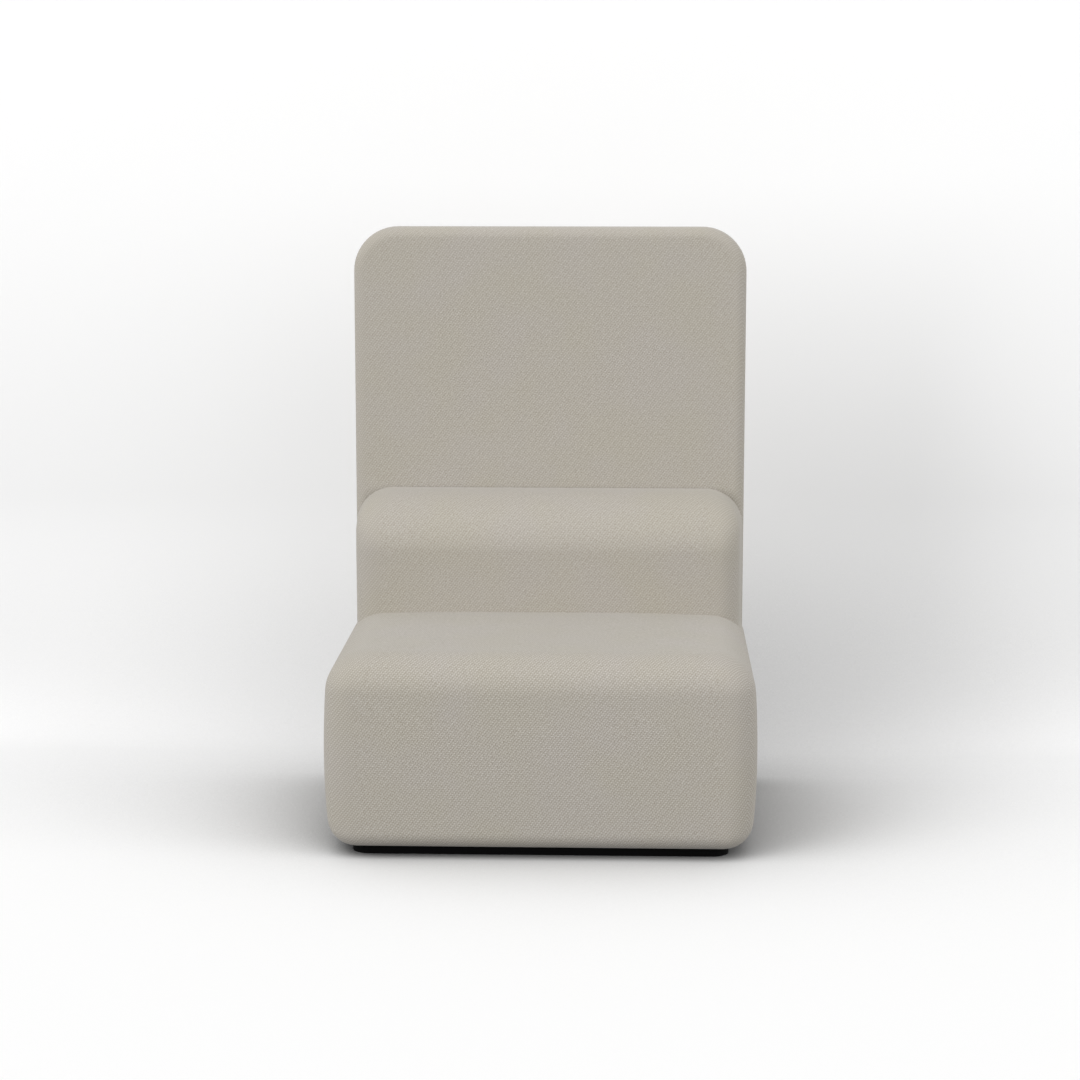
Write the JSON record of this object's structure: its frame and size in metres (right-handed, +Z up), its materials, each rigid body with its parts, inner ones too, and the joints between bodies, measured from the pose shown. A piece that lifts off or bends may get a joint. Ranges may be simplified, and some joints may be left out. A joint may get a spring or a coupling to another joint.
{
  "type": "lounge chair",
  "caption": "Armless upholstered lounge chair: a soft seat block and a low lumbar back in front of a tall flat sound-absorbing panel, standing on a recessed plinth.",
  "frame": {"origin": "centre of the footprint of the whole chair, on the floor", "axes": "+Z up, -Y the way the chair faces, +X to the right as the chair is seen from its front"},
  "size_m": [0.917, 0.74, 1.3],
  "materials": {
    "plinth": "black lacquered plywood, satin",
    "plywood": "birch plywood, sanded",
    "pine": "planed pine",
    "webbing": "woven elastic webbing",
    "foam": "cut upholstery foam",
    "felt": "pressed polyester felt board",
    "upholstery": "matt greige twill",
    "dust_cloth": "black non-woven cloth",
    "glide_nylon": "moulded black nylon",
    "steel": "zinc plated steel"
  },
  "bodies": {
    "root": {"plinth_front_board": "plinth", "plinth_rear_board": "plinth", "plinth_left_board": "plinth", "plinth_right_board": "plinth", "frame_front_rail": "plywood", "frame_rear_rail": "plywood", "frame_left_panel": "plywood", "frame_right_panel": "plywood", "low_back_board": "plywood", "panel_top_rail": "plywood", "frame_centre_rail": "pine", "panel_left_stile": "pine", "panel_right_stile": "pine", "panel_bottom_rail": "pine", "panel_seat_rail": "pine", "panel_low_back_rail": "pine", "corner_block_front_left": "pine", "corner_block_front_right": "pine", "corner_block_rear_left": "pine", "corner_block_rear_right": "pine", "strap_long_1": "webbing", "strap_long_2": "webbing", "strap_long_3": "webbing", "strap_long_4": "webbing", "strap_long_5": "webbing", "strap_cross_1": "webbing", "strap_cross_2": "webbing", "strap_cross_3": "webbing", "strap_cross_4": "webbing", "seat_foam": "foam", "front_foam": "foam", "left_foam": "foam", "right_foam": "foam", "low_back_foam": "foam", "panel_front_foam": "foam", "panel_rear_foam": "foam", "panel_lower_infill": "felt", "panel_upper_infill": "felt", "seat_cover": "upholstery", "low_back_cover": "upholstery", "panel_cover": "upholstery", "dust_cover": "dust_cloth", "glide_insert_front_left": "steel", "glide_insert_front_right": "steel", "glide_insert_rear_left": "steel", "glide_insert_rear_right": "steel", "seat_bolt_low_left": "steel", "seat_bolt_low_right": "steel", "seat_bolt_high_left": "steel", "seat_bolt_high_right": "steel", "low_back_bolt_left": "steel", "low_back_bolt_right": "steel"},
    "glide_front_left": {"glide_front_left": "glide_nylon"},
    "glide_front_right": {"glide_front_right": "glide_nylon"},
    "glide_rear_left": {"glide_rear_left": "glide_nylon"},
    "glide_rear_right": {"glide_rear_right": "glide_nylon"}
  },
  "joints": [
    {"name": "glide_front_left_screw", "type": "slide", "parent": "root", "child": "glide_front_left", "axis": [0, 0, -1], "range_m": [0, 0.01]},
    {"name": "glide_front_right_screw", "type": "slide", "parent": "root", "child": "glide_front_right", "axis": [0, 0, -1], "range_m": [0, 0.01]},
    {"name": "glide_rear_left_screw", "type": "slide", "parent": "root", "child": "glide_rear_left", "axis": [0, 0, -1], "range_m": [0, 0.01]},
    {"name": "glide_rear_right_screw", "type": "slide", "parent": "root", "child": "glide_rear_right", "axis": [0, 0, -1], "range_m": [0, 0.01]}
  ]
}
